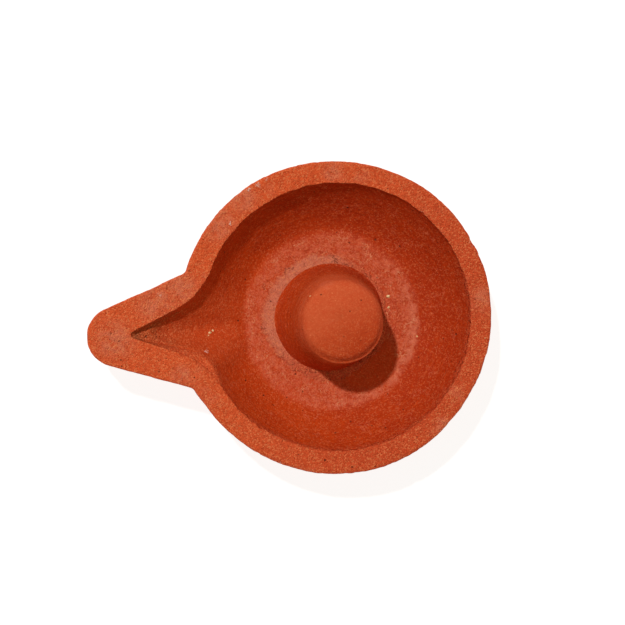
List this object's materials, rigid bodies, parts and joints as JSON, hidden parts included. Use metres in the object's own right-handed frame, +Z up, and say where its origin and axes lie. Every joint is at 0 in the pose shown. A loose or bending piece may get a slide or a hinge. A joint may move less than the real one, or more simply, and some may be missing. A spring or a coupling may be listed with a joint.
{
  "type": "diya oil lamp",
  "caption": "Round fired-clay oil lamp with a broad flat rim, a tapering wick spout and a domed pillar in its bowl.",
  "frame": {"origin": "centre of the bowl's flat foot, on the surface that the lamp stands on", "axes": "+Z up out of the bowl; the wick spout points along -X; the lamp without its knob's lean is symmetric about the XZ plane"},
  "size_m": [0.1032, 0.08, 0.0309],
  "materials": {
    "bowl_clay": "unglazed fired red clay, sandy rim, red slip inside",
    "spout_clay": "unglazed fired red clay, sandy top face, grit in the wick channel",
    "joint_clay": "unglazed fired red clay, wiped smooth",
    "knob_clay": "unglazed fired red clay with throwing rings",
    "pad_clay": "pale crumbly fired clay"
  },
  "bodies": {
    "root": {"bowl": "bowl_clay", "spout": "spout_clay", "spout_luting": "joint_clay", "knob": "knob_clay", "knob_luting": "pad_clay"}
  },
  "joints": []
}
